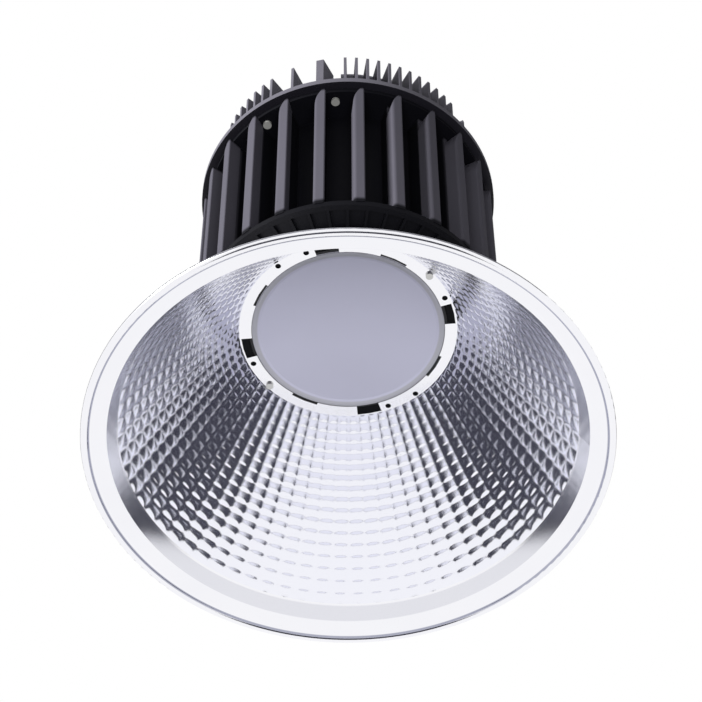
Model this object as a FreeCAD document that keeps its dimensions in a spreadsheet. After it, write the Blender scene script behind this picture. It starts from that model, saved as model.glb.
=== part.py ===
import FreeCAD, Part
import math
import os
import re

import Sketcher
from FreeCAD import Placement, Rotation, Vector

# High bay light, hung by an eye bolt with its mouth facing down.
# Frame: millimetres, +Z up, origin at the centre of the reflector's mouth, on the plane that the
# rolled rim rests on.  Angles run from -Y (the front) towards +X.

SIZES = {
    # spun reflector
    "mouth_radius": 210.0,
    "bead_radius": 3.2,
    "sheet_thickness": 1.5,
    "flange_inner_radius": 189.6,
    "flange_lip_rise": 2.0,
    "flange_rise": 6.7,
    "facet_end_radius": 182.0,
    "facet_end_rise": 19.5,
    "facet_step": 0.5,
    "facet_columns": 72,
    "facet_rows": 17,
    "facet_growth": 0.025,
    "cone_bulge": 2.4,
    "neck_radius": 91.5,
    "neck_rise": 157.0,
    # punched ring at the reflector's neck
    "lens_opening_radius": 81.0,
    "slot_outer_radius": 90.0,
    "slot_start_angle": -18.3,
    "slot_end_angle": -5.0,
    "arc_slot_outer_radius": 83.2,
    "arc_slot_start_angle": -71.0,
    "arc_slot_end_angle": -54.5,
    "pin_hole_radius": 2.4,
    "pin_hole_pitch_radius": 87.0,
    "pin_hole_angle": -23.0,
    "screw_hole_angle": -40.5,
    "screw_hole_pitch_radius": 88.0,
    # lens, its gasket and its frame
    "lens_thickness": 2.0,
    "lens_recess": 1.2,
    "lens_face_radius": 74.0,
    "lens_rim_radius": 80.3,
    "lens_flange_radius": 83.0,
    "lens_flange_thickness": 1.5,
    "gasket_thickness": 1.0,
    "gasket_inner_radius": 79.0,
    "frame_inner_radius": 77.5,
    "frame_outer_radius": 96.5,
    "frame_thickness": 4.0,
    "frame_screw_pitch_radius": 90.0,
    "frame_screw_angle": 8.0,
    "ring_screw_bite": 4.5,
    # light source
    "board_radius": 70.0,
    "board_thickness": 1.6,
    "pad_thickness": 1.0,
    "emitter_width": 6.0,
    "emitter_height": 0.9,
    "emitter_ring_radius": 56.0,
    "emitter_ring_step": 18.0,
    "board_screw_pitch_radius": 65.5,
    # heat sink casting
    "sink_underside_rise": 156.0,
    "sink_base_radius": 128.0,
    "sink_base_height": 6.0,
    "sink_base_slope": 8.0,
    "neck_recess_clearance": 0.5,
    "light_plate_rise": 171.4,
    "light_plate_thickness": 9.0,
    "core_radius": 98.0,
    "core_wall": 5.0,
    "fin_outer_radius": 128.5,
    "fin_tip_width": 10.0,
    "fin_heel_width": 7.5,
    "fin_pad_depth": 13.0,
    "fin_web_thickness": 4.0,
    "fin_lean": 8.0,
    "fin_count": 24,
    "fin_first_angle": 4.4,
    "fin_left_round": 3.0,
    "fin_right_round": 1.2,
    "fin_top_rise": 337.0,
    "shoulder_drop": 24.0,
    "shoulder_run": 7.0,
    "top_plate_thickness": 5.0,
    "top_plate_radius": 124.0,
    "underside_groove_inner": 104.0,
    "underside_groove_outer": 123.0,
    "underside_groove_depth": 4.0,
    "underside_rib_width": 2.2,
    "underside_rib_count": 48,
    "lead_hole_radius": 6.0,
    # crown casting
    "crown_radius": 131.0,
    "crown_flange_thickness": 6.0,
    "crown_wall_radius": 98.0,
    "crown_wall_thickness": 4.0,
    "crown_wall_height": 62.0,
    "blade_outer_radius": 116.0,
    "blade_thickness": 2.5,
    "blade_height": 60.5,
    "blade_slots": 72,
    "blade_first_angle": -1.0,
    "opening_start_angle": -33.5,
    "opening_end_angle": -3.5,
    "lone_blade_angle": -25.0,
    "lug_outer_start": -27.7,
    "lug_outer_end": -21.2,
    "lug_inner_start": -27.5,
    "lug_inner_end": -12.5,
    # driver can, its cap and the parts inside
    "can_radius": 48.0,
    "can_wall": 2.5,
    "can_height": 78.0,
    "can_flange_radius": 58.0,
    "can_flange_thickness": 4.0,
    "can_screw_pitch_radius": 53.0,
    "can_screw_angle": 20.0,
    "can_screw_length": 9.0,
    "boss_radius": 4.5,
    "boss_pitch_radius": 41.5,
    "cap_overhang": 2.5,
    "cap_thickness": 5.0,
    "cap_boss_radius": 14.0,
    "cap_boss_height": 6.0,
    "post_height": 8.0,
    "post_radius": 3.0,
    "post_pitch_radius": 29.0,
    "post_angle": 20.0,
    "post_screw_bite": 5.0,
    "driver_board_radius": 35.5,
    "driver_board_thickness": 1.6,
    "transformer_across": -11.0,
    "transformer_along": 8.0,
    "transformer_width": 28.0,
    "transformer_depth": 15.0,
    "transformer_height": 24.0,
    "transformer_limb": 4.0,
    "winding_overhang": 5.0,
    "capacitor_radius": 6.5,
    "capacitor_height": 26.0,
    "terminal_width": 18.0,
    "terminal_depth": 9.0,
    "terminal_height": 11.0,
    "lead_radius": 1.2,
    "lead_spacing": 5.0,
    # cable gland
    "gland_offset": 29.0,
    "gland_thread_radius": 7.8,
    "gland_hex_width": 22.0,
    "gland_hex_height": 5.0,
    "gland_body_radius": 9.2,
    "gland_body_height": 8.0,
    "gland_nut_radius": 11.0,
    "gland_nut_height": 13.0,
    "gland_bore_radius": 4.0,
    "gland_seal_thickness": 2.6,
    # eye bolt
    "eye_ring_radius": 17.0,
    "eye_rod_radius": 4.5,
    "eye_shank_radius": 5.0,
    "eye_shank_below": 10.0,
    "washer_radius": 11.0,
    "washer_thickness": 1.8,
    "nut_width": 17.0,
    "nut_height": 8.0,
    # screws and fits
    "screw_radius": 2.0,
    "screw_head_radius": 3.7,
    "screw_head_height": 2.6,
    "small_screw_radius": 1.5,
    "small_head_radius": 3.1,
    "small_head_height": 2.0,
    "crown_screw_length": 10.0,
    "cap_screw_length": 14.0,
    "crown_screw_pitch_radius": 115.0,
    "crown_screw_first_angle": -5.2,
    "crown_screw_second_angle": -37.5,
    "thread_gap": 0.1,
}

doc = FreeCAD.newDocument("high_bay_light")
sheet = doc.addObject("Spreadsheet::Sheet", "sizes")
for row, (alias, value) in enumerate(SIZES.items(), start=1):
    sheet.set(f"A{row}", alias)
    sheet.set(f"B{row}", str(value))
    sheet.setAlias(f"B{row}", alias)
doc.recompute()

# Levels up the light, as expressions on the sheet.
RING_TOP = "(neck_rise + sheet_thickness)"
LENS_FLANGE_TOP = f"({RING_TOP} + lens_flange_thickness)"
LENS_FACE = "(neck_rise + lens_recess)"
FRAME_SHELF = f"({LENS_FLANGE_TOP} + gasket_thickness)"
FRAME_TOP = f"({RING_TOP} + frame_thickness)"
BOARD_FACE = "(light_plate_rise - pad_thickness - board_thickness)"
SINK_TOP = "(fin_top_rise + top_plate_thickness)"
CROWN_FLOOR = f"({SINK_TOP} + crown_flange_thickness)"
CAN_SEAT = f"({CROWN_FLOOR} + gasket_thickness)"
CAN_TOP = f"({CAN_SEAT} + can_height)"
CAP_TOP = f"({CAN_TOP} + gasket_thickness + cap_thickness)"
CAP_BOSS_TOP = f"({CAP_TOP} + cap_boss_height)"
DRIVER_BOARD_UNDER = f"({CROWN_FLOOR} + post_height)"
DRIVER_BOARD_TOP = f"({DRIVER_BOARD_UNDER} + driver_board_thickness)"
WASHER_TOP = f"({CAP_BOSS_TOP} + washer_thickness)"
EYE_CENTRE = f"({WASHER_TOP} + nut_height + eye_ring_radius + eye_rod_radius)"
GLAND_HEX_TOP = f"({CAP_TOP} + gland_hex_height)"
GLAND_BODY_TOP = f"({GLAND_HEX_TOP} + gland_body_height)"


def bound(text):
    """Put the sheet's name in front of every size that an expression names."""
    return re.sub(r"[a-z_]+", lambda word: "sizes." + word[0] if word[0] in SIZES else word[0], text)


def bind(thing, path, text):
    """Bind one property of an object to an expression on the sheet."""
    thing.setExpression(path, bound(text))


def polar(radius, angle):
    """Expressions of the point at a radius and an angle from the front towards +X."""
    return f"({radius}) * sin({angle})", f"-({radius}) * cos({angle})"


def new_body(label):
    """A body that becomes one part of the light."""
    body = doc.addObject("PartDesign::Body", label)
    body.Label = label
    return body


def new_sketch(body, name, role, rise=None):
    """A sketch on one of the body's own planes, raised by an expression where one is given."""
    sketch = body.newObject("Sketcher::SketchObject", name)
    plane = next(item for item in body.Origin.OriginFeatures if item.Role == role)
    sketch.AttachmentSupport = (plane, "")
    sketch.MapMode = "FlatFace"
    if rise:
        bind(sketch, "AttachmentOffset.Base.z", rise)
    return sketch


def constrain(sketch, kind, text, *where):
    """Add one dimension to a sketch and bind it to an expression."""
    index = sketch.addConstraint(Sketcher.Constraint(kind, *where, 1.0))
    bind(sketch, f"Constraints[{index}]", text)


def add_outline(sketch, corners):
    """Add a closed outline of straight lines with its corners at pairs of expressions."""
    count = len(corners)
    first = sketch.GeometryCount
    turn = 2 * math.pi / count
    start = [Vector(90 * math.cos(turn * i), 90 * math.sin(turn * i), 0) for i in range(count)]
    for i in range(count):
        sketch.addGeometry(Part.LineSegment(start[i], start[(i + 1) % count]))
    for i in range(count):
        follower = first + (i + 1) % count
        sketch.addConstraint(Sketcher.Constraint("Coincident", first + i, 2, follower, 1))
    for i, (across, along) in enumerate(corners):
        constrain(sketch, "DistanceX", across, -1, 1, first + i, 1)
        constrain(sketch, "DistanceY", along, -1, 1, first + i, 1)


def add_circle(sketch, across, along, radius):
    """Add a circle with its centre and radius at expressions."""
    circle = sketch.addGeometry(Part.Circle(Vector(10, 10, 0), Vector(0, 0, 1), 5))
    constrain(sketch, "DistanceX", across, -1, 1, circle, 3)
    constrain(sketch, "DistanceY", along, -1, 1, circle, 3)
    constrain(sketch, "Radius", radius, circle)


def revolve(body, sketch, kind="PartDesign::Revolution"):
    """Turn a sketch right round the body's Z axis."""
    feature = body.newObject(kind, sketch.Name + "_turn")
    feature.Profile = sketch
    feature.ReferenceAxis = (sketch, ["V_Axis"])
    feature.Angle = 360
    sketch.Visibility = False
    return feature


def turned(label, corners):
    """A turned part: its half section, as radius and rise, right round the Z axis."""
    body = new_body(label)
    sketch = new_sketch(body, label + "_section", "XZ_Plane")
    add_outline(sketch, corners)
    revolve(body, sketch)
    return body


def pad(body, sketch, length):
    """Pad a sketch upwards by an expression."""
    feature = body.newObject("PartDesign::Pad", sketch.Name + "_pad")
    feature.Profile = sketch
    bind(feature, "Length", length)
    return feature


def pocket(body, sketch, depth=None):
    """Cut a sketch upwards, by an expression or right through."""
    feature = body.newObject("PartDesign::Pocket", sketch.Name + "_cut")
    feature.Profile = sketch
    feature.Reversed = True
    if depth:
        bind(feature, "Length", depth)
    else:
        feature.Type = "ThroughAll"
    return feature


def repeat_round(body, feature, count):
    """Repeat a feature round the body's Z axis, evenly over the full turn."""
    pattern = body.newObject("PartDesign::PolarPattern", feature.Name + "_round")
    pattern.Originals = [feature]
    pattern.Axis = (feature.Profile[0], ["N_Axis"])
    pattern.Angle = 360
    if isinstance(count, str):
        bind(pattern, "Occurrences", count)
    else:
        pattern.Occurrences = count
    body.Tip = pattern
    return pattern


def box_corners(width, near, far):
    """Corners of a strip across the front, from one distance out to another."""
    half = f"({width}) / 2"
    return [(f"-{half}", f"-({near})"), (half, f"-({near})"), (half, f"-({far})"),
            (f"-{half}", f"-({far})")]


def drill(body, name, places, radius, low, depth):
    """Drill clearance holes at the places, upwards from a level."""
    sketch = new_sketch(body, name, "XY_Plane", low)
    for place in places:
        add_circle(sketch, *place, f"{radius} + thread_gap")
    return pocket(body, sketch, depth)


def cylinder(name, radius, low, height, across="0", along="0"):
    """An upright cylinder from expressions."""
    solid = doc.addObject("Part::Cylinder", name)
    bind(solid, "Radius", radius)
    bind(solid, "Height", height)
    bind(solid, "Placement.Base.x", across)
    bind(solid, "Placement.Base.y", along)
    bind(solid, "Placement.Base.z", low)
    return solid


def block(name, width, depth, height, across, along, low):
    """An upright box from expressions, centred on a point."""
    solid = doc.addObject("Part::Box", name)
    bind(solid, "Length", width)
    bind(solid, "Width", depth)
    bind(solid, "Height", height)
    bind(solid, "Placement.Base.x", f"{across} - ({width}) / 2")
    bind(solid, "Placement.Base.y", f"{along} - ({depth}) / 2")
    bind(solid, "Placement.Base.z", low)
    return solid


def group(label, solids):
    """Like pieces kept together as separate solids of one part."""
    compound = doc.addObject("Part::Compound", label)
    compound.Label = label
    compound.Links = solids
    return compound


def join(name, solids):
    """Fuse solids into one."""
    fused = doc.addObject("Part::MultiFuse", name)
    fused.Label = name
    fused.Shapes = solids
    return fused


def screws(label, places, seat, length, upward, size="screw"):
    """Screws with their heads on a seat and their shanks above it, or below it."""
    shank = "small_screw_radius" if size == "small" else "screw_radius"
    head = "small_head" if size == "small" else "screw_head"
    pieces = []
    for number, (across, along) in enumerate(places):
        name = f"{label}_{number}"
        head_low = f"{seat} - {head}_height" if upward else seat
        shank_low = seat if upward else f"{seat} - ({length})"
        top = cylinder(name + "_head", f"{head}_radius", head_low, f"{head}_height", across, along)
        stem = cylinder(name + "_shank", shank, shank_low, length, across, along)
        pieces.append(join(name, [top, stem]))
    return group(label, pieces)


def quarter_turns(radius, angle, count=4):
    """The places of a feature that repeats evenly round the axis."""
    return [polar(radius, f"({angle}) + {360 * i / count}") for i in range(count)]


def crown_screw_places():
    """Two screws in each quarter of the crown's flange."""
    return (quarter_turns("crown_screw_pitch_radius", "crown_screw_first_angle")
            + quarter_turns("crown_screw_pitch_radius", "crown_screw_second_angle"))


def sector(inner, outer, start, end):
    """Corners of a ring sector whose outer edge has a corner half way."""
    middle = f"(({start}) + ({end})) / 2"
    return [polar(inner, start), polar(outer, start), polar(outer, middle), polar(outer, end),
            polar(inner, end)]


BOARD_SCREWS = quarter_turns("board_screw_pitch_radius", "45")
RING_SCREWS = [polar("screw_hole_pitch_radius", f"screw_hole_angle + {turn}") for turn in (90, 270)]
FRAME_SCREWS = quarter_turns("frame_screw_pitch_radius", "frame_screw_angle")
CAN_SCREWS = quarter_turns("can_screw_pitch_radius", "can_screw_angle")
CAP_SCREWS = quarter_turns("boss_pitch_radius", "45")
POSTS = quarter_turns("post_pitch_radius", "post_angle")

# ---------------------------------------------------------------- reflector

def cone_radius(part, extra=""):
    """Radius of the faceted wall at a fraction of the way from the neck to its end."""
    span = "(facet_end_radius + facet_step - neck_radius)"
    return f"neck_radius{extra} + {span} * {part} + cone_bulge * 4 * {part} * (1 - {part})"


def cone_rise(part):
    """Height of the faceted wall at the same fraction."""
    return f"neck_rise - (neck_rise - facet_end_rise) * {part}"


def row_fraction(row):
    """How far down the wall a row of facets starts; the rows grow towards the mouth."""
    rows = SIZES["facet_rows"]
    growth = SIZES["facet_growth"]
    return (row + growth * row * row / 2) / (rows + growth * rows * rows / 2)


def facet_core():
    """The faceted space inside the reflector: a stack of many-sided rows."""
    rings = []
    for row in range(SIZES["facet_rows"] + 1):
        part = round(row_fraction(row), 6)
        ring = doc.addObject("Part::RegularPolygon", f"facet_ring_{row}")
        bind(ring, "Polygon", "facet_columns")
        bind(ring, "Circumradius", cone_radius(part))
        bind(ring, "Placement.Base.z", cone_rise(part))
        rings.append(ring)
    core = doc.addObject("Part::Loft", "facet_core")
    core.Sections = rings
    core.Solid = True
    core.Ruled = True
    return core


def make_reflector():
    """Spun sheet: rolled rim, flange, smooth band, wall for the facets and punched neck ring."""
    wall = " + 1.2 * sheet_thickness"
    body = new_body("reflector_shell")
    section = new_sketch(body, "reflector_section", "XZ_Plane")
    lip = "mouth_radius - 1.6 * bead_radius"
    add_outline(section, [
        (lip, "flange_lip_rise"),
        ("flange_inner_radius", "flange_rise"),
        ("facet_end_radius", "facet_end_rise"),
        ("neck_radius - 2 * facet_step", "neck_rise"),
        ("lens_opening_radius", "neck_rise"),
        ("lens_opening_radius", RING_TOP),
        ("neck_radius + 0.6 * sheet_thickness", RING_TOP),
        (cone_radius(0.33, wall), cone_rise(0.33)),
        (cone_radius(0.67, wall), cone_rise(0.67)),
        (cone_radius(1, wall), "facet_end_rise"),
        ("flange_inner_radius + 0.67 * sheet_thickness", "flange_rise + 0.84 * sheet_thickness"),
        (lip, "flange_lip_rise + 1.05 * sheet_thickness"),
    ])
    revolve(body, section)
    bead = new_sketch(body, "reflector_bead", "XZ_Plane")
    add_circle(bead, "mouth_radius - bead_radius", "bead_radius", "bead_radius")
    revolve(body, bead)
    cuts = new_sketch(body, "neck_cuts", "XY_Plane")
    inside = "lens_opening_radius - 3"
    add_outline(cuts, sector(inside, "slot_outer_radius", "slot_start_angle", "slot_end_angle"))
    add_outline(cuts, sector(inside, "arc_slot_outer_radius", "arc_slot_start_angle",
                             "arc_slot_end_angle"))
    for radius, angle in (("pin_hole_pitch_radius", "pin_hole_angle"),
                          ("screw_hole_pitch_radius", "screw_hole_angle")):
        add_circle(cuts, *polar(radius, angle), "pin_hole_radius")
    repeat_round(body, pocket(body, cuts), 4)
    faceted = doc.addObject("Part::Cut", "reflector")
    faceted.Base = body
    faceted.Tool = facet_core()
    faceted.Label = "reflector"
    return faceted


# ---------------------------------------------------------------- lens and light source

def make_lens_parts():
    """Dished diffuser, the gasket on its flange and the frame that clamps both."""
    lens = turned("lens", [
        ("0", LENS_FACE),
        ("lens_face_radius", LENS_FACE),
        ("lens_rim_radius - 2", "neck_rise"),
        ("lens_rim_radius", "neck_rise"),
        ("lens_rim_radius", RING_TOP),
        ("lens_flange_radius", RING_TOP),
        ("lens_flange_radius", LENS_FLANGE_TOP),
        ("gasket_inner_radius - 1", LENS_FLANGE_TOP),
        ("lens_face_radius + 1", f"{LENS_FACE} + lens_thickness"),
        ("0", f"{LENS_FACE} + lens_thickness"),
    ])
    gasket = turned("lens_gasket", [
        ("gasket_inner_radius", LENS_FLANGE_TOP),
        ("lens_flange_radius", LENS_FLANGE_TOP),
        ("lens_flange_radius", FRAME_SHELF),
        ("gasket_inner_radius", FRAME_SHELF),
    ])
    frame = turned("lens_frame", [
        ("lens_flange_radius + neck_recess_clearance", RING_TOP),
        ("frame_outer_radius", RING_TOP),
        ("frame_outer_radius", FRAME_TOP),
        ("frame_inner_radius", FRAME_TOP),
        ("frame_inner_radius", FRAME_SHELF),
        ("lens_flange_radius + neck_recess_clearance", FRAME_SHELF),
    ])
    drill(frame, "frame_holes", RING_SCREWS + FRAME_SCREWS, "small_screw_radius", RING_TOP + " - 1",
          "frame_thickness + 2")
    sinks = new_sketch(frame, "frame_head_sinks", "XY_Plane", RING_TOP + " - 1")
    for place in FRAME_SCREWS:
        add_circle(sinks, *place, "small_head_radius + thread_gap")
    pocket(frame, sinks, "small_head_height + 1")
    head_seat = f"{RING_TOP} + small_head_height"
    length = "frame_thickness - small_head_height + ring_screw_bite"
    return [
        lens, gasket, frame,
        screws("frame_screws", FRAME_SCREWS, head_seat, length, True, "small"),
        screws("reflector_screws", RING_SCREWS, "neck_rise",
               "sheet_thickness + frame_thickness + ring_screw_bite", True, "small"),
    ]


def make_light_source():
    """LED board on its thermal pad, its emitters in three rings, and its screws."""
    board = turned("led_board", [
        ("0", BOARD_FACE),
        ("board_radius", BOARD_FACE),
        ("board_radius", f"{BOARD_FACE} + board_thickness"),
        ("0", f"{BOARD_FACE} + board_thickness"),
    ])
    pad_ring = turned("thermal_pad", [
        ("lead_hole_radius", f"{BOARD_FACE} + board_thickness"),
        ("board_radius", f"{BOARD_FACE} + board_thickness"),
        ("board_radius", "light_plate_rise"),
        ("lead_hole_radius", "light_plate_rise"),
    ])
    for part in (board, pad_ring):
        drill(part, part.Label + "_holes", BOARD_SCREWS, "small_screw_radius", BOARD_FACE + " - 1",
              "board_thickness + pad_thickness + 2")
    emitters = []
    for ring, count in enumerate((20, 12, 6)):
        radius = f"emitter_ring_radius - emitter_ring_step * {ring}"
        for number in range(count):
            across, along = polar(radius, f"{360 / count * number}")
            name = f"emitter_{ring}_{number}"
            emitters.append(block(name, "emitter_width", "emitter_width", "emitter_height",
                                  across, along, f"{BOARD_FACE} - emitter_height"))
    length = "board_thickness + pad_thickness + light_plate_thickness / 2"
    fixings = screws("board_screws", BOARD_SCREWS, BOARD_FACE, length, True, "small")
    return [board, pad_ring, group("led_emitters", emitters), fixings]


# ---------------------------------------------------------------- heat sink

def corner_round(corner, before, after, radius):
    """Centre and the two tangent points of a round at a corner between two neighbours."""
    towards = (before - corner).normalize()
    onwards = (after - corner).normalize()
    half = towards.getAngle(onwards) / 2
    centre = corner + (towards + onwards).normalize() * (radius / math.sin(half))
    reach = radius / math.tan(half)
    return centre, corner + towards * reach, corner + onwards * reach


def fin_plan(body, rise):
    """Plan of a fin's outer pad: it leans from the radial, thins inwards and has two rounds."""
    sketch = new_sketch(body, "fin_plan", "XY_Plane", rise)
    bind(sketch, "AttachmentOffset.Rotation.Angle", "fin_first_angle")
    root = "(fin_outer_radius - fin_pad_depth)"
    shift = "(fin_pad_depth * tan(fin_lean))"
    root_at = SIZES["fin_outer_radius"] - SIZES["fin_pad_depth"]
    slip = SIZES["fin_pad_depth"] * math.tan(math.radians(SIZES["fin_lean"]))
    left = Vector(-SIZES["fin_tip_width"] / 2, -SIZES["fin_outer_radius"], 0)
    right = Vector(SIZES["fin_tip_width"] / 2, -SIZES["fin_outer_radius"], 0)
    root_right = Vector(SIZES["fin_heel_width"] / 2 - slip, -root_at, 0)
    root_left = Vector(-SIZES["fin_heel_width"] / 2 - slip, -root_at, 0)
    bends = (("fin_left_round", left, root_left, right), ("fin_right_round", right, left, root_right))
    rounds = [corner_round(corner, before, after, SIZES[name]) for name, corner, before, after in bends]
    path = [(rounds[0][2], rounds[1][1]), (rounds[1][2], root_right), (root_right, root_left),
            (root_left, rounds[0][1])]
    outer, right_side, back, left_side = [sketch.addGeometry(Part.LineSegment(*ends)) for ends in path]
    arcs = []
    for (name, *_), (centre, enter, leave) in zip(bends, rounds):
        start = math.atan2(enter.y - centre.y, enter.x - centre.x)
        stop = math.atan2(leave.y - centre.y, leave.x - centre.x)
        circle = Part.Circle(centre, Vector(0, 0, 1), SIZES[name])
        arcs.append(sketch.addGeometry(Part.ArcOfCircle(circle, start, stop)))
    for one, other in (((left_side, 2), (arcs[0], 1)), ((arcs[0], 2), (outer, 1)),
                       ((outer, 2), (arcs[1], 1)), ((arcs[1], 2), (right_side, 1))):
        sketch.addConstraint(Sketcher.Constraint("Tangent", *one, *other))
    sketch.addConstraint(Sketcher.Constraint("Coincident", right_side, 2, back, 1))
    sketch.addConstraint(Sketcher.Constraint("Coincident", back, 2, left_side, 1))
    sketch.addConstraint(Sketcher.Constraint("Horizontal", outer))
    sketch.addConstraint(Sketcher.Constraint("Horizontal", back))
    constrain(sketch, "DistanceY", "-fin_outer_radius", -1, 1, outer, 1)
    constrain(sketch, "DistanceY", f"-{root}", -1, 1, back, 1)
    constrain(sketch, "DistanceX", f"fin_heel_width / 2 - {shift}", -1, 1, back, 1)
    constrain(sketch, "DistanceX", f"-fin_heel_width / 2 - {shift}", -1, 1, back, 2)
    reach = "fin_pad_depth"
    lean_left = f"(fin_heel_width - fin_tip_width) / 2 + {shift}"
    lean_right = f"(fin_heel_width - fin_tip_width) / 2 - {shift}"
    constrain(sketch, "Angle", f"atan2(-{reach}; {lean_left})", left_side)
    constrain(sketch, "Angle", f"atan2({reach}; {lean_right})", right_side)
    for (name, *_), arc in zip(bends, arcs):
        constrain(sketch, "Radius", name, arc)
    return sketch


def shoulder_cut(body):
    """The long round that takes off each fin's outer top corner on its left side."""
    sketch = new_sketch(body, "fin_shoulder", "XZ_Plane")
    sketch.AttachmentOffset = Placement(Vector(), Rotation(Vector(0, 1, 0), 1))
    bind(sketch, "AttachmentOffset.Rotation.Angle", "fin_first_angle")
    heel = "(fin_outer_radius - fin_pad_depth - 1)"
    bind(sketch, "AttachmentOffset.Base.x", heel + " * sin(fin_first_angle)")
    bind(sketch, "AttachmentOffset.Base.z", heel + " * cos(fin_first_angle)")
    drop = SIZES["shoulder_drop"]
    run = SIZES["shoulder_run"]
    radius = (run * run + drop * drop) / (2 * run)
    left = -SIZES["fin_tip_width"] / 2
    low = SIZES["fin_top_rise"] - drop
    centre = Vector(left + radius, low, 0)
    reach = math.asin(drop / radius)
    arc = sketch.addGeometry(Part.ArcOfCircle(Part.Circle(centre, Vector(0, 0, 1), radius),
                                              math.pi - reach, math.pi))
    high = sketch.addGeometry(Part.LineSegment(Vector(left + run, low + drop, 0),
                                               Vector(left - 4, low + drop, 0)))
    side = sketch.addGeometry(Part.LineSegment(Vector(left - 4, low + drop, 0),
                                               Vector(left - 4, low, 0)))
    base = sketch.addGeometry(Part.LineSegment(Vector(left - 4, low, 0), Vector(left, low, 0)))
    for one, other in (((arc, 1), (high, 1)), ((high, 2), (side, 1)), ((side, 2), (base, 1)),
                       ((base, 2), (arc, 2))):
        sketch.addConstraint(Sketcher.Constraint("Coincident", *one, *other))
    sketch.addConstraint(Sketcher.Constraint("Horizontal", high))
    sketch.addConstraint(Sketcher.Constraint("Horizontal", base))
    sketch.addConstraint(Sketcher.Constraint("Vertical", side))
    bend = "((shoulder_run * shoulder_run + shoulder_drop * shoulder_drop) / (2 * shoulder_run))"
    constrain(sketch, "Radius", bend, arc)
    constrain(sketch, "DistanceX", f"{bend} - fin_tip_width / 2", -1, 1, arc, 3)
    constrain(sketch, "DistanceY", "fin_top_rise - shoulder_drop", -1, 1, arc, 3)
    constrain(sketch, "DistanceY", "fin_top_rise - shoulder_drop", -1, 1, base, 1)
    constrain(sketch, "DistanceX", "-fin_tip_width / 2 - 4", -1, 1, base, 1)
    constrain(sketch, "DistanceY", "fin_top_rise", -1, 1, high, 2)
    return sketch


def make_heat_sink():
    """One casting: base ring, light plate, hollow core, leaning fins and a plate for the crown."""
    recess = "(frame_outer_radius + neck_recess_clearance)"
    body = turned("heat_sink", [
        ("lead_hole_radius", "light_plate_rise"),
        ("frame_inner_radius", "light_plate_rise"),
        ("frame_inner_radius", FRAME_TOP),
        (recess, FRAME_TOP),
        (recess, "sink_underside_rise"),
        ("sink_base_radius", "sink_underside_rise"),
        ("sink_base_radius", "sink_underside_rise + sink_base_height"),
        ("core_radius", "sink_underside_rise + sink_base_height + sink_base_slope"),
        ("core_radius", "fin_top_rise"),
        ("top_plate_radius", "fin_top_rise"),
        ("top_plate_radius", SINK_TOP),
        ("core_radius - core_wall", SINK_TOP),
        ("core_radius - core_wall", "light_plate_rise + light_plate_thickness"),
        ("lead_hole_radius", "light_plate_rise + light_plate_thickness"),
    ])
    groove = new_sketch(body, "underside_groove", "XZ_Plane")
    add_outline(groove, [
        ("underside_groove_inner", "sink_underside_rise - 1"),
        ("underside_groove_outer", "sink_underside_rise - 1"),
        ("underside_groove_outer", "sink_underside_rise + underside_groove_depth"),
        ("underside_groove_inner", "sink_underside_rise + underside_groove_depth"),
    ])
    revolve(body, groove, "PartDesign::Groove")
    rib = new_sketch(body, "underside_rib", "XY_Plane", "sink_underside_rise")
    add_outline(rib, box_corners("underside_rib_width", "underside_groove_inner - 0.5",
                                 "underside_groove_outer + 0.5"))
    repeat_round(body, pad(body, rib, "underside_groove_depth + 0.5"), "underside_rib_count")
    base_top = "sink_underside_rise + sink_base_height"
    height = f"fin_top_rise - ({base_top}) + 1"
    repeat_round(body, pad(body, fin_plan(body, base_top + " - 1"), height), "fin_count")
    web = new_sketch(body, "fin_web", "XY_Plane", base_top + " - 1")
    bind(web, "AttachmentOffset.Rotation.Angle", "fin_first_angle")
    slip = "(fin_pad_depth * tan(fin_lean))"
    add_outline(web, [
        (f"-{slip} - fin_web_thickness / 2", "1 - core_radius"),
        (f"-{slip} + fin_web_thickness / 2", "1 - core_radius"),
        (f"-{slip} + fin_web_thickness / 2", "fin_pad_depth - 1 - fin_outer_radius"),
        (f"-{slip} - fin_web_thickness / 2", "fin_pad_depth - 1 - fin_outer_radius"),
    ])
    repeat_round(body, pad(body, web, height), "fin_count")
    shoulder = pocket(body, shoulder_cut(body), "fin_pad_depth + 4")
    repeat = body.newObject("PartDesign::PolarPattern", "shoulders_round")
    repeat.Originals = [shoulder]
    upright = next(item for item in body.Origin.OriginFeatures if item.Role == "Z_Axis")
    repeat.Axis = (upright, [""])
    repeat.Angle = 360
    bind(repeat, "Occurrences", "fin_count")
    body.Tip = repeat
    drill(body, "plate_holes", crown_screw_places(), "screw_radius", "fin_top_rise - 1",
          "top_plate_thickness + 2")
    drill(body, "lamp_holes", BOARD_SCREWS, "small_screw_radius", "light_plate_rise - 1",
          "light_plate_thickness / 2 + 1.2")
    drill(body, "frame_screw_holes", RING_SCREWS + FRAME_SCREWS, "small_screw_radius",
          FRAME_TOP + " - 1", "ring_screw_bite + 1.2")
    return body


# ---------------------------------------------------------------- crown

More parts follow.
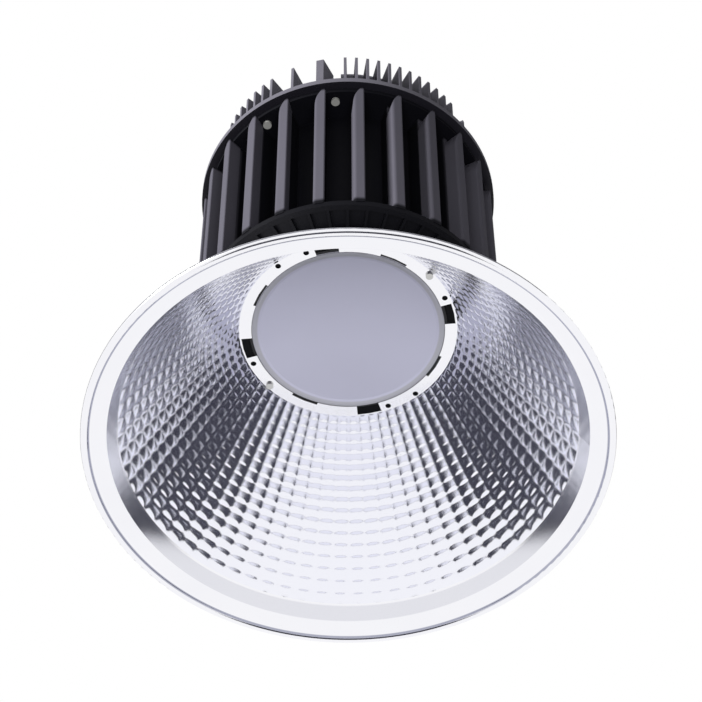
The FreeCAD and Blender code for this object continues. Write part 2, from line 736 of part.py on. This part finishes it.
def make_crown():
    """Upper casting: flange, ringed wall, blades all round and four openings with their lugs."""
    body = turned("crown", [
        ("lead_hole_radius", SINK_TOP),
        ("crown_radius", SINK_TOP),
        ("crown_radius", CROWN_FLOOR),
        ("crown_wall_radius", CROWN_FLOOR),
        ("crown_wall_radius", f"{CROWN_FLOOR} + crown_wall_height"),
        ("crown_wall_radius - crown_wall_thickness", f"{CROWN_FLOOR} + crown_wall_height"),
        ("crown_wall_radius - crown_wall_thickness", CROWN_FLOOR),
        ("lead_hole_radius", CROWN_FLOOR),
    ])
    root = "crown_wall_radius - 1"
    strip = box_corners("blade_thickness", root, "blade_outer_radius")
    blade = new_sketch(body, "blade_plan", "XY_Plane", CROWN_FLOOR + " - 1")
    bind(blade, "AttachmentOffset.Rotation.Angle", "blade_first_angle")
    add_outline(blade, strip)
    repeat_round(body, pad(body, blade, "blade_height + 1"), "blade_slots")
    opening = new_sketch(body, "crown_openings", "XY_Plane", CROWN_FLOOR)
    add_outline(opening, sector("crown_wall_radius - 2 * crown_wall_thickness",
                                "blade_outer_radius + 4", "opening_start_angle",
                                "opening_end_angle"))
    repeat_round(body, pocket(body, opening, "crown_wall_height + 2"), 4)
    lone = new_sketch(body, "lone_blade_plan", "XY_Plane", CROWN_FLOOR + " - 1")
    bind(lone, "AttachmentOffset.Rotation.Angle", "lone_blade_angle")
    add_outline(lone, strip)
    repeat_round(body, pad(body, lone, "blade_height + 1"), 4)
    lug = new_sketch(body, "lug_plan", "XY_Plane", CROWN_FLOOR + " - 1")
    corners = []
    for name, radius in (("lug_outer_start", "blade_outer_radius"),
                         ("lug_inner_start", "crown_wall_radius"),
                         ("lug_inner_end", "crown_wall_radius"),
                         ("lug_outer_end", "blade_outer_radius")):
        corners.append((name, f"-sqrt({radius} ^ 2 - {name} ^ 2)"))
    add_outline(lug, corners)
    repeat_round(body, pad(body, lug, "blade_height + 1"), 4)
    drill(body, "crown_screw_holes", crown_screw_places(), "screw_radius", SINK_TOP + " - 1",
          "crown_screw_length - top_plate_thickness + 1.4")
    drill(body, "can_screw_holes", CAN_SCREWS, "screw_radius",
          f"{CROWN_FLOOR} - can_screw_length + can_flange_thickness + gasket_thickness - 0.4",
          "can_screw_length")
    fixings = screws("crown_screws", crown_screw_places(), "fin_top_rise", "crown_screw_length", True)
    return [body, fixings]


# ---------------------------------------------------------------- driver can

def make_can():
    """Driver can with its foot flange and inner bosses, its cap, the gaskets and the screws."""
    bore = "can_radius - can_wall"
    can = turned("driver_can", [
        (bore, CAN_SEAT),
        ("can_flange_radius", CAN_SEAT),
        ("can_flange_radius", f"{CAN_SEAT} + can_flange_thickness"),
        ("can_radius", f"{CAN_SEAT} + can_flange_thickness"),
        ("can_radius", CAN_TOP),
        (bore, CAN_TOP),
    ])
    bosses = new_sketch(can, "can_bosses", "XY_Plane", CAN_SEAT)
    for place in CAP_SCREWS:
        add_circle(bosses, *place, "boss_radius")
    pad(can, bosses, "can_height")
    drill(can, "boss_holes", CAP_SCREWS, "screw_radius",
          f"{CAP_TOP} - cap_screw_length - 0.4", "cap_screw_length + 2")
    drill(can, "can_flange_holes", CAN_SCREWS, "screw_radius", CAN_SEAT + " - 1",
          "can_flange_thickness + 2")
    foot = turned("can_gasket", ring_section("can_radius - 4", "can_flange_radius - 1", CROWN_FLOOR,
                                             "gasket_thickness"))
    drill(foot, "can_gasket_holes", CAN_SCREWS, "screw_radius", CROWN_FLOOR + " - 1",
          "gasket_thickness + 2")
    seal = turned("cap_gasket", ring_section("boss_pitch_radius - boss_radius", "can_radius", CAN_TOP,
                                             "gasket_thickness"))
    drill(seal, "cap_gasket_holes", CAP_SCREWS, "screw_radius", CAN_TOP + " - 1",
          "gasket_thickness + 2")
    under = f"({CAN_TOP} + gasket_thickness)"
    rim = "(can_radius + cap_overhang)"
    cap = turned("driver_cap", [
        ("eye_shank_radius + thread_gap", under),
        (rim, under),
        (rim, CAP_TOP + " - 1.5"),
        (f"{rim} - 1.5", CAP_TOP),
        ("cap_boss_radius", CAP_TOP),
        ("cap_boss_radius - 1", CAP_BOSS_TOP),
        ("eye_shank_radius + thread_gap", CAP_BOSS_TOP),
    ])
    drill(cap, "cap_holes", CAP_SCREWS, "screw_radius", under + " - 1", "cap_thickness + 2")
    drill(cap, "gland_hole", [("0", "gland_offset")], "gland_thread_radius", under + " - 1",
          "cap_thickness + 2")
    can_fixings = screws("can_screws", CAN_SCREWS, f"{CAN_SEAT} + can_flange_thickness",
                         "can_screw_length", False)
    cap_fixings = screws("cap_screws", CAP_SCREWS, CAP_TOP, "cap_screw_length", False)
    return [can, foot, seal, cap, can_fixings, cap_fixings]


def ring_section(inner, outer, low, thickness):
    """Half section of a flat ring."""
    high = f"{low} + {thickness}"
    return [(inner, low), (outer, low), (outer, high), (inner, high)]


def make_driver():
    """Driver board on its posts, the parts soldered to it and the leads down to the lamp board."""
    board = turned("driver_board", [
        ("0", DRIVER_BOARD_UNDER),
        ("driver_board_radius", DRIVER_BOARD_UNDER),
        ("driver_board_radius", DRIVER_BOARD_TOP),
        ("0", DRIVER_BOARD_TOP),
    ])
    drill(board, "driver_board_holes", POSTS, "small_screw_radius", DRIVER_BOARD_UNDER + " - 1",
          "driver_board_thickness + 2")
    posts = []
    for number, (across, along) in enumerate(POSTS):
        post = cylinder(f"post_{number}", "post_radius", CROWN_FLOOR, "post_height", across, along)
        bite = cylinder(f"post_hole_{number}", "small_screw_radius + thread_gap",
                        f"{DRIVER_BOARD_UNDER} - post_screw_bite - 0.4", "post_screw_bite + 1",
                        across, along)
        drilled = doc.addObject("Part::Cut", f"drilled_post_{number}")
        drilled.Base = post
        drilled.Tool = bite
        posts.append(drilled)
    fixings = screws("driver_board_screws", POSTS, DRIVER_BOARD_TOP,
                     "driver_board_thickness + post_screw_bite", False, "small")
    leads = [cylinder(f"lead_{side}", "lead_radius", BOARD_FACE + " + board_thickness",
                      f"{DRIVER_BOARD_UNDER} - {BOARD_FACE} - board_thickness",
                      f"{side} * lead_spacing / 2")
             for side in (-1, 1)]
    capacitors = [cylinder(f"capacitor_{number}", "capacitor_radius", DRIVER_BOARD_TOP,
                           "capacitor_height", across, along)
                  for number, (across, along) in enumerate((("13", "14"), ("18.5", "-1"),
                                                            ("15.5", "-15.5")))]
    terminal = block("terminal_block", "terminal_width", "terminal_depth", "terminal_height",
                     "-12", "-18", DRIVER_BOARD_TOP)
    return [board, group("board_posts", posts), fixings, group("led_leads", leads),
            group("capacitors", capacitors), terminal] + make_transformer()


def make_transformer():
    """Laminated core with two windows and the winding round its middle limb."""
    where = ("transformer_across", "transformer_along")
    core = block("core_block", "transformer_width", "transformer_depth", "transformer_height",
                 *where, DRIVER_BOARD_TOP)
    window = "((transformer_width - 4 * transformer_limb) / 2)"
    window_low = f"{DRIVER_BOARD_TOP} + transformer_limb"
    tall = "(transformer_height - 2 * transformer_limb)"
    windows = []
    for side in (-1, 1):
        across = f"transformer_across + {side} * (transformer_limb + {window} / 2)"
        windows.append(block(f"core_window_{side}", window, "transformer_depth + 2", tall, across,
                             "transformer_along", window_low))
    frame = doc.addObject("Part::Cut", "transformer_core")
    frame.Base = core
    frame.Tool = group("core_windows", windows)
    frame.Label = "transformer_core"
    bobbin = block("bobbin", f"2 * {window} + 2 * transformer_limb",
                   "transformer_depth + 2 * winding_overhang", tall, *where, window_low)
    limb = block("bobbin_limb", "2 * transformer_limb", "transformer_depth", tall, *where, window_low)
    winding = doc.addObject("Part::Cut", "transformer_winding")
    winding.Base = bobbin
    winding.Tool = limb
    winding.Label = "transformer_winding"
    return [frame, winding]


# ---------------------------------------------------------------- eye bolt and cable gland

def hexagon(name, width, low, height, hole, across="0", along="0"):
    """A hexagon with a round hole, from expressions."""
    outline = doc.addObject("Part::RegularPolygon", name + "_outline")
    outline.Polygon = 6
    bind(outline, "Circumradius", f"{width} / sqrt(3)")
    bind(outline, "Placement.Base.x", across)
    bind(outline, "Placement.Base.y", along)
    bind(outline, "Placement.Base.z", low)
    prism = doc.addObject("Part::Extrusion", name + "_prism")
    prism.Base = outline
    prism.DirMode = "Normal"
    prism.Solid = True
    bind(prism, "LengthFwd", height)
    bore = cylinder(name + "_bore", hole, f"{low} - 1", f"{height} + 2", across, along)
    pierced = doc.addObject("Part::Cut", name)
    pierced.Base = prism
    pierced.Tool = bore
    pierced.Label = name
    return pierced


def make_eye():
    """Forged eye on its threaded shank, with a washer and a lock nut on the cap's boss."""
    ring = doc.addObject("Part::Torus", "eye_ring")
    bind(ring, "Radius1", "eye_ring_radius")
    bind(ring, "Radius2", "eye_rod_radius")
    ring.Placement = Placement(Vector(), Rotation(Vector(1, 0, 0), 90))
    bind(ring, "Placement.Base.z", EYE_CENTRE)
    shank_low = f"({CAP_BOSS_TOP} - cap_boss_height - cap_thickness)"
    shank = cylinder("eye_shank", "eye_shank_radius", shank_low,
                     f"{EYE_CENTRE} - eye_ring_radius - {shank_low}")
    washer = turned("eye_washer", ring_section("eye_shank_radius + thread_gap", "washer_radius",
                                               CAP_BOSS_TOP, "washer_thickness"))
    nut = hexagon("eye_nut", "nut_width", WASHER_TOP, "nut_height", "eye_shank_radius + thread_gap")
    return [join("eye_bolt", [ring, shank]), washer, nut]


def make_gland():
    """Cable gland in the cap: threaded body with a hexagon, rubber seal and domed nut."""
    along = "gland_offset"
    flats = hexagon("gland_flats", "gland_hex_width", CAP_TOP, "gland_hex_height",
                    "gland_bore_radius + 1", "0", along)
    stem_low = f"({CAP_TOP} - cap_thickness - 4)"
    stem = cylinder("gland_stem", "gland_thread_radius", stem_low, f"{CAP_TOP} - {stem_low} + 1",
                    "0", along)
    neck = cylinder("gland_neck", "gland_body_radius", f"{CAP_TOP} + 1",
                    "gland_hex_height + gland_body_height - 1", "0", along)
    bore = cylinder("gland_bore", "gland_bore_radius + 1", f"{stem_low} - 1", "gland_hex_height + 40",
                    "0", along)
    body = doc.addObject("Part::Cut", "gland_body")
    body.Base = join("gland_blank", [flats, stem, neck])
    body.Tool = bore
    body.Label = "gland_body"
    seal = turned("gland_seal", ring_section("gland_bore_radius", "gland_body_radius - 1",
                                             GLAND_BODY_TOP, "gland_seal_thickness"))
    inner = "gland_body_radius + thread_gap"
    roof = f"({GLAND_BODY_TOP} + gland_seal_thickness)"
    nut = turned("gland_nut", [
        (inner, GLAND_HEX_TOP + " + 1"),
        ("gland_nut_radius", GLAND_HEX_TOP + " + 1"),
        ("gland_nut_radius", f"{GLAND_HEX_TOP} + gland_nut_height - 3"),
        ("gland_nut_radius - 2", f"{GLAND_HEX_TOP} + gland_nut_height"),
        ("gland_bore_radius", f"{GLAND_HEX_TOP} + gland_nut_height"),
        ("gland_bore_radius", roof),
        (inner, roof),
    ])
    for part in (seal, nut):
        bind(part, "Placement.Base.y", along)
    return [body, seal, nut]


# ---------------------------------------------------------------- build, check and export

parts = (
    [make_reflector()]
    + make_lens_parts()
    + make_light_source()
    + [make_heat_sink()]
    + make_crown()
    + make_can()
    + make_driver()
    + make_eye()
    + make_gland()
)
doc.recompute()

for item in doc.Objects:
    if "Invalid" in item.State or "Error" in item.State:
        raise RuntimeError(f"{item.Name} did not recompute: {item.State}")
for part in parts:
    if part.Shape.isNull() or not part.Shape.isValid():
        raise RuntimeError(f"{part.Label} has no valid shape")

os.makedirs("parts", exist_ok=True)
for part in parts:
    part.Shape.exportStep(f"parts/{part.Label}.step")
    print(f"{part.Label}: {len(part.Shape.Solids)} solid(s), {part.Shape.Volume / 1000:.2f} cm3")
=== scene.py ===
import math

import bmesh
import bpy
from mathutils import Matrix, Vector


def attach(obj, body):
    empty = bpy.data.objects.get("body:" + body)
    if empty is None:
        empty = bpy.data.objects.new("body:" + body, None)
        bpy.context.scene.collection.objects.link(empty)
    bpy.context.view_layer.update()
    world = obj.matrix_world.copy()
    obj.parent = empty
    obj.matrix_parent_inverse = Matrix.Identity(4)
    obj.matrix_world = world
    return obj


# Looks of a high bay light that hangs by its eye bolt, mouth down.
# Metres, +Z up; angles run from the front (-Y) towards +X.

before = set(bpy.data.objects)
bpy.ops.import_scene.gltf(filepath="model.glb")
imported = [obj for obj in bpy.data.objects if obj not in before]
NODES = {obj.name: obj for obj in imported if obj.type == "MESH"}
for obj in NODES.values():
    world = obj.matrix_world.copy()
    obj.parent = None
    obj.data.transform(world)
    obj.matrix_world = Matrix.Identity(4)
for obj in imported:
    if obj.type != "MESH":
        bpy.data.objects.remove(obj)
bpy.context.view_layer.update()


# ---------------------------------------------------------------- shader maths

class Wire:
    """A node socket that takes part in sums: each operator adds a Math node."""

    def __init__(self, tree, socket):
        self.tree = tree
        self.socket = socket

    def maths(self, operation, *terms):
        """A Math node over its terms, which are wires or plain numbers."""
        node = self.tree.nodes.new("ShaderNodeMath")
        node.operation = operation
        for slot, term in zip(node.inputs, terms):
            plug(self.tree, slot, term)
        return Wire(self.tree, node.outputs[0])

    def __add__(self, other):
        return self.maths("ADD", self, other)

    __radd__ = __add__

    def __mul__(self, other):
        return self.maths("MULTIPLY", self, other)

    def __sub__(self, other):
        return self.maths("SUBTRACT", self, other)

    def __rsub__(self, other):
        return self.maths("SUBTRACT", other, self)

    def clamp(self):
        """Hold the value between 0 and 1."""
        return self.maths("MINIMUM", self.maths("MAXIMUM", self, 0.0), 1.0)

    def past(self, level, width):
        """Rise from 0 to 1 over a width that starts at a level."""
        return ((self - level) * (1 / width)).clamp()


def plug(tree, slot, value):
    """Link a wire to an input, or fill the input with a plain value."""
    if isinstance(value, Wire):
        tree.links.new(value.socket, slot)
    else:
        slot.default_value = value


class Finish:
    """A material under construction: one Principled shader and the wires that vary it."""

    def __init__(self, name, color, roughness, metallic=0.0, specular=0.5):
        self.material = bpy.data.materials.new(name)
        self.material.use_nodes = True
        self.tree = self.material.node_tree
        self.shader = self.tree.nodes["Principled BSDF"]
        self.shader.inputs["Base Color"].default_value = (*color, 1)
        self.shader.inputs["Roughness"].default_value = roughness
        self.shader.inputs["Metallic"].default_value = metallic
        self.shader.inputs["Specular IOR Level"].default_value = specular
        place = self.tree.nodes.new("ShaderNodeTexCoord")
        self.place = Wire(self.tree, place.outputs["Object"])
        self.facing = Wire(self.tree, place.outputs["Normal"])

    def node(self, kind, settings=None, **inputs):
        """Add any node, set it up, link or fill its inputs, and return it."""
        node = self.tree.nodes.new(kind)
        for name, value in (settings or {}).items():
            setattr(node, name, value)
        for name, value in inputs.items():
            plug(self.tree, node.inputs[name], value)
        return node

    def noise(self, scale, detail):
        """Noise over the object's own space, as a wire from 0 to 1."""
        made = self.node("ShaderNodeTexNoise", Vector=self.place, Scale=scale, Detail=detail,
                         Roughness=0.55)
        return Wire(self.tree, made.outputs["Fac"])

    def split(self, vector):
        """The three parts of a vector wire."""
        parts = self.node("ShaderNodeSeparateXYZ", Vector=vector)
        return [Wire(self.tree, out) for out in parts.outputs]

    def from_axis(self):
        """Distance from the light's upright axis, and height, as two wires."""
        x, y, z = self.split(self.place)
        squares = x * x + y * y
        return squares.maths("SQRT", squares), z

    def blend(self, share, first, second):
        """Mix two colours by a wire."""
        mix = self.node("ShaderNodeMix", {"data_type": "RGBA"})
        plug(self.tree, mix.inputs["Factor"], share)
        plug(self.tree, mix.inputs[6], (*first, 1) if isinstance(first, tuple) else first)
        plug(self.tree, mix.inputs[7], (*second, 1) if isinstance(second, tuple) else second)
        return Wire(self.tree, mix.outputs[2])

    def color(self, value):
        """Vary the colour by a wire."""
        plug(self.tree, self.shader.inputs["Base Color"], value)

    def rough(self, value):
        """Vary the roughness by a wire."""
        plug(self.tree, self.shader.inputs["Roughness"], value)

    def bump(self, height, depth, strength):
        """Raise the surface by a height wire, in metres of depth."""
        made = self.node("ShaderNodeBump", Height=height)
        made.inputs["Distance"].default_value = depth
        made.inputs["Strength"].default_value = strength
        plug(self.tree, self.shader.inputs["Normal"], Wire(self.tree, made.outputs["Normal"]))


# ---------------------------------------------------------------- finishes

# Heat sink: the coat keeps its own pale colour only on the fins' outer pads, between the base
# ring and the top plate; elsewhere painted shade makes it deep black.
PAD_START = 0.112
BASE_RING_TOP = 0.164
PLATE_SHADE_START = 0.3335

# Reflector's underside: painted shade on the slope after the last facets, and a painted shadow
# line beside the rolled bead.
SLOPE_SHADE = (0.1826, 0.1893)
BEAD_SHADOW = (0.2026, 0.2042)
LINE_EDGE = 0.0006
SLOPE_TOP = 0.021

# Lens: the foot of the raised face, and the dark margin at the ring's edge.
FACE_FOOT = 0.0755
MARGIN = 0.0806


def cast_black():
    """Satin black powder coat over a die casting, with painted shade: deep black inside, its own
    paler colour on the fins' ends.
    """
    made = Finish("black_powder_coat", (0.072, 0.069, 0.085), 0.5, specular=0.06)
    cloud = made.noise(9, 3)
    grain = made.noise(900, 2)
    reach, height = made.from_axis()
    below_plate_shade = 1 - height.past(PLATE_SHADE_START, 0.003)
    unshaded_pads = reach.past(PAD_START, 0.004) * height.past(BASE_RING_TOP, 0.004) * below_plate_shade
    worn = made.blend(cloud, (0.07, 0.067, 0.083), (0.084, 0.081, 0.1))
    # Painted shade: deep black in the gaps, on the base ring and under the top plate; the coat's
    # own colour on the pads.
    made.color(made.blend(unshaded_pads, (0.004, 0.004, 0.0055), worn))
    made.rough(0.46 + cloud * 0.14)
    made.bump(grain, 0.0001, 0.5)
    return made.material


def cast_grey():
    """Dark grey powder coat of the crown, with painted shade: black where it faces down."""
    made = Finish("grey_powder_coat", (0.08, 0.077, 0.095), 0.45, specular=0.2)
    cloud = made.noise(12, 3)
    grain = made.noise(900, 2)
    # Painted shade: faces that turn down are painted near black.
    underside_shade = 1 - made.split(made.facing)[2].past(-0.8, 0.4)
    coat = made.blend(cloud, (0.1, 0.096, 0.116), (0.12, 0.116, 0.138))
    made.color(made.blend(underside_shade, coat, (0.009, 0.0085, 0.012)))
    made.rough(0.38 + cloud * 0.16)
    made.bump(grain, 0.0001, 0.5)
    return made.material


def spun_aluminium():
    """Brightened aluminium: mirror bright inside the mouth, ringed by spinning outside, with
    painted shade near the rolled bead.
    """
    made = Finish("spun_aluminium", (0.9, 0.9, 0.94), 0.12, 1.0)
    cloud = made.noise(14, 4)
    reach, height = made.from_axis()
    outside = made.split(made.facing)[2].past(-0.05, 0.1)
    turning = made.node("ShaderNodeTexNoise", {"noise_dimensions": "1D"}, W=reach - height,
                        Scale=450, Detail=2)
    rings = Wire(made.tree, turning.outputs["Fac"]).past(0.35, 0.3)
    bright = made.blend(cloud, (0.88, 0.88, 0.925), (0.93, 0.93, 0.96))
    satin = made.blend(rings, (0.76, 0.76, 0.785), (0.82, 0.82, 0.845))
    underside = (1 - height.past(SLOPE_TOP, 0.001)) * (1 - outside)
    slope_shade, bead_shadow = (reach.past(start, LINE_EDGE) * (1 - reach.past(end, LINE_EDGE)) * underside
                   for start, end in (SLOPE_SHADE, BEAD_SHADOW))
    # Painted shade: the slope greyed a little, and the bead's painted shadow as a full grey
    # line.
    inside = made.blend((slope_shade * 0.3 + bead_shadow).clamp(), bright, (0.42, 0.43, 0.52))
    made.color(made.blend(outside, inside, satin))
    made.rough(0.07 + cloud * 0.09 + outside * (0.16 + rings * 0.05))
    return made.material


def bright_lining():
    """Mirror-bright hammered aluminium, a faint violet."""
    made = Finish("bright_lining", (0.88, 0.885, 0.95), 0.1, 1.0)
    cloud = made.noise(14, 4)
    made.color(made.blend(cloud, (0.86, 0.865, 0.94), (0.9, 0.905, 0.96)))
    made.rough(0.06 + cloud * 0.08)
    return made.material


def frosted_lens():
    """Frosted diffuser, a faint violet grey, with a greyer rim and a dark margin."""
    made = Finish("frosted_lens", (0.54, 0.54, 0.66), 0.5, specular=0.3)
    cloud = made.noise(10, 2)
    reach, _ = made.from_axis()
    frost = made.blend(cloud, (0.52, 0.52, 0.64), (0.56, 0.56, 0.69))
    rimmed = made.blend(reach.past(FACE_FOOT, 0.0012), frost, (0.43, 0.43, 0.48))
    made.color(made.blend(reach.past(MARGIN, 0.0003), rimmed, (0.02, 0.02, 0.022)))
    made.rough(0.42 + cloud * 0.15)
    made.bump(made.noise(2500, 1), 0.00004, 0.3)
    return made.material


def plain(name, color, roughness, metallic=0.0, specular=0.5):
    """A quiet finish whose colour and sheen wander a little."""
    spread = 0.12
    made = Finish(name, color, roughness, metallic, specular)
    cloud = made.noise(30, 3)
    low = tuple(part * (1 - spread) for part in color)
    high = tuple(min(1.0, part * (1 + spread)) for part in color)
    made.color(made.blend(cloud, low, high))
    made.rough(roughness - 0.05 + cloud * 0.12)
    made.bump(made.noise(900, 2), 0.00005, 0.4)
    return made.material


FINISHES = {
    "black": cast_black(),
    "grey": cast_grey(),
    "aluminium": spun_aluminium(),
    "lining": bright_lining(),
    "lens": frosted_lens(),
    "zinc": plain("zinc_plate", (0.56, 0.56, 0.55), 0.32, 1.0),
    "bright zinc": plain("bright_zinc_plate", (0.4, 0.4, 0.38), 0.4, 0.3),
    "frame": plain("black_moulding", (0.006, 0.006, 0.007), 0.6, specular=0.08),
    "rubber": plain("black_rubber", (0.02, 0.02, 0.02), 0.75),
    "mask": plain("white_solder_mask", (0.8, 0.8, 0.78), 0.4),
    "pad": plain("thermal_pad_grey", (0.4, 0.41, 0.42), 0.8),
    "phosphor": plain("phosphor", (0.8, 0.6, 0.12), 0.35),
    "board": plain("green_solder_mask", (0.03, 0.18, 0.07), 0.35),
    "laminations": plain("varnished_steel", (0.12, 0.11, 0.1), 0.4, 0.6),
    "copper": plain("enamelled_copper", (0.55, 0.22, 0.09), 0.3, 1.0),
    "sleeve": plain("capacitor_sleeve", (0.02, 0.02, 0.05), 0.3),
    "terminal": plain("terminal_green", (0.08, 0.35, 0.15), 0.45),
    "lead": plain("lead_insulation", (0.4, 0.03, 0.02), 0.45),
    "nylon": plain("black_nylon", (0.02, 0.02, 0.02), 0.45),
}
WORN_BY = {
    "black": ["heat_sink"],
    "grey": ["crown", "driver_can", "driver_cap"],
    "aluminium": ["reflector"],
    "lens": ["lens"],
    "zinc": ["reflector_screws", "frame_screws", "board_screws", "can_screws", "cap_screws",
             "driver_board_screws", "board_posts", "eye_bolt", "eye_washer", "eye_nut"],
    "bright zinc": ["crown_screws"],
    "frame": ["lens_frame"],
    "rubber": ["lens_gasket", "can_gasket", "cap_gasket", "gland_seal"],
    "mask": ["led_board"],
    "pad": ["thermal_pad"],
    "phosphor": ["led_emitters"],
    "board": ["driver_board"],
    "laminations": ["transformer_core"],
    "copper": ["transformer_winding"],
    "sleeve": ["capacitors"],
    "terminal": ["terminal_block"],
    "lead": ["led_leads"],
    "nylon": ["gland_body", "gland_nut"],
}


def dress(material, names):
    """Give CAD nodes their finish."""
    for name in names:
        mesh = NODES[name].data
        mesh.materials.clear()
        mesh.materials.append(material)


for finish, names in WORN_BY.items():
    dress(FINISHES[finish], names)


# ---------------------------------------------------------------- faceted lining

# Facets round and down the reflector, and the growth of each row over the one above.
COLUMNS = 72
ROWS = 17
GROWTH = 0.025

# The wall from neck to last row, as radius and height, and how far it bulges between them.
NECK = (0.0915, 0.157)
END = (0.1825, 0.0195)
BULGE = 0.0024

# Each facet is a pillow of ACROSS by DOWN faces: its lift off the flat facet, its swell at
# the middle, how full its curve is, and how far the lining's back lies behind the wall.
ACROSS = 6
DOWN = 5
LIFT = 0.00025
SWELL = 0.0007
FULLNESS = 0.8
BACK = 0.0003


def wall(part):
    """Radius and height of the reflector's wall, as far down it as a fraction."""
    radius = NECK[0] + (END[0] - NECK[0]) * part + BULGE * 4 * part * (1 - part)
    return radius, NECK[1] + (END[1] - NECK[1]) * part


def row_start(row):
    """Fraction of the wall at which a row of facets starts."""
    return (row + GROWTH * row * row / 2) / (ROWS + GROWTH * ROWS * ROWS / 2)


def around(reach, turn, height):
    """A point by its distance from the axis, its angle from the front and its height."""
    return reach * math.sin(turn), -reach * math.cos(turn), height


def front_ring(made, row, along):
    """Vertices round the pillows' front, a fraction of the way down a row."""
    radius, height = wall(row_start(row) + (row_start(row + 1) - row_start(row)) * along)
    ring = []
    for column in range(COLUMNS):
        for piece in range(ACROSS):
            over = piece / ACROSS
            turn = 2 * math.pi * (column + over) / COLUMNS
            flat = math.cos(math.pi / COLUMNS) / math.cos(math.pi * (2 * over - 1) / COLUMNS)
            pillow = (4 * over * (1 - over)) ** FULLNESS * (4 * along * (1 - along)) ** FULLNESS
            reach = radius * flat - LIFT - SWELL * pillow
            ring.append(made.verts.new(around(reach, turn, height)))
    return ring


def back_ring(made, row):
    """Vertices round the lining's back, at the start of a row."""
    radius, height = wall(row_start(row))
    return [made.verts.new(around(radius + BACK, 2 * math.pi * column / COLUMNS, height))
            for column in range(COLUMNS)]


def lining():
    """Hammered lining of the reflector: rows of small pillows, closed at the back."""
    made = bmesh.new()
    front = [front_ring(made, row, step / DOWN) for row in range(ROWS) for step in range(DOWN)]
    front.append(front_ring(made, ROWS - 1, 1.0))
    back = [back_ring(made, row) for row in range(ROWS, -1, -1)]
    for rings in (front, back):
        for upper, lower in zip(rings, rings[1:]):
            for i in range(len(upper)):
                j = (i + 1) % len(upper)
                made.faces.new((upper[i], upper[j], lower[j], lower[i]))
    for edge, ring in ((front[-1], back[0]), (front[0], back[-1])):
        for column in range(COLUMNS):
            strip = [edge[(column * ACROSS + k) % len(edge)] for k in range(ACROSS + 1)]
            end = made.faces.new(strip + [ring[(column + 1) % COLUMNS], ring[column]])
            for side in end.edges:
                side.smooth = False
    bmesh.ops.recalc_face_normals(made, faces=made.faces)
    mesh = bpy.data.meshes.new("facet_lining")
    made.to_mesh(mesh)
    made.free()
    piece = bpy.data.objects.new("facet_lining", mesh)
    bpy.context.scene.collection.objects.link(piece)
    mesh.materials.append(FINISHES["lining"])
    mesh.polygons.foreach_set("use_smooth", [True] * len(mesh.polygons))
    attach(piece, "root")


lining()


# ---------------------------------------------------------------- studio

def camera(tilt, roll, distance, right_shift, up_shift):
    """Looks up from the front, below the mouth, through a long lens."""
    ahead = Vector((0, math.cos(tilt), math.sin(tilt)))
    right = Vector((1, 0, 0))
    above = right.cross(ahead)
    place = -distance * ahead + right_shift * right + up_shift * above
    side = right * math.cos(roll) + above * math.sin(roll)
    top = side.cross(ahead)
    data = bpy.data.cameras.new("camera")
    data.sensor_width = 36
    data.lens = 121.1487
    data.clip_start = 0.05
    data.clip_end = 60
    seat = bpy.data.objects.new("camera", data)
    bpy.context.scene.collection.objects.link(seat)
    seat.matrix_world = Matrix((
        (side.x, top.x, -ahead.x, place.x),
        (side.y, top.y, -ahead.y, place.y),
        (side.z, top.z, -ahead.z, place.z),
        (0, 0, 0, 1),
    ))
    bpy.context.scene.camera = seat


def surroundings(strength):
    """White all round for the camera and for reflections, a plain level for light."""
    world = bpy.data.worlds.new("studio")
    bpy.context.scene.world = world
    world.use_nodes = True
    tree = world.node_tree
    rays = tree.nodes.new("ShaderNodeLightPath").outputs
    shown = Wire(tree, rays["Is Camera Ray"])
    for ray in ("Is Glossy Ray", "Is Transmission Ray"):
        shown = shown.maths("MAXIMUM", shown, Wire(tree, rays[ray]))
    back = tree.nodes["Background"]
    back.inputs["Color"].default_value = (1, 1, 1, 1)
    plug(tree, back.inputs["Strength"], shown * (1 - strength) + strength)


def card(name, centre, facing, width, height, color):
    """A flat card that reflections alone see; it stands in the studio, apart from the light."""
    turn = Vector(facing).to_track_quat("Z", "Y")
    corners = [Vector((x * width / 2, y * height / 2, 0))
               for x, y in ((-1, -1), (1, -1), (1, 1), (-1, 1))]
    mesh = bpy.data.meshes.new(name)
    mesh.from_pydata([Vector(centre) + turn @ corner for corner in corners], [], [(0, 1, 2, 3)])
    panel = bpy.data.objects.new(name, mesh)
    bpy.context.scene.collection.objects.link(panel)
    made = Finish(name, color, 0.8)
    cloud = made.noise(1.5, 2)
    made.color(made.blend(cloud, tuple(part * 0.97 for part in color), color))
    mesh.materials.append(made.material)
    panel.visible_camera = False
    panel.visible_diffuse = False
    panel.visible_shadow = False


def lamp(name, place, aim, size, power):
    """A soft square lamp aimed at a point."""
    data = bpy.data.lights.new(name, "AREA")
    data.size = size
    data.energy = power
    seat = bpy.data.objects.new(name, data)
    bpy.context.scene.collection.objects.link(seat)
    seat.location = place
    seat.rotation_mode = "QUATERNION"
    seat.rotation_quaternion = (Vector(aim) - Vector(place)).to_track_quat("-Z", "Y")
    return seat


camera(tilt=math.radians(52.55), roll=math.radians(-0.197), distance=1.8505,
       right_shift=0.00229, up_shift=0.07896)
surroundings(strength=0.08)
card("dark_card", centre=(0, -1.3, -2.18), facing=(0, 0.608, 0.794), width=3.3, height=2.0,
     color=(0.08, 0.08, 0.11))
card("ceiling", centre=(0, 0, 2.1), facing=(0, 0, -1), width=5, height=5, color=(0.3, 0.3, 0.33))
lamp("key", place=(-2.05, -1.2, 0.6), aim=(0, 0, 0.28), size=0.9, power=115)
bounce = lamp("bounce", place=(0, -1.62, -1.72), aim=(0, 0, 0.15), size=1.1, power=52)
bounce.visible_glossy = False
bpy.context.scene.view_settings.view_transform = "Standard"
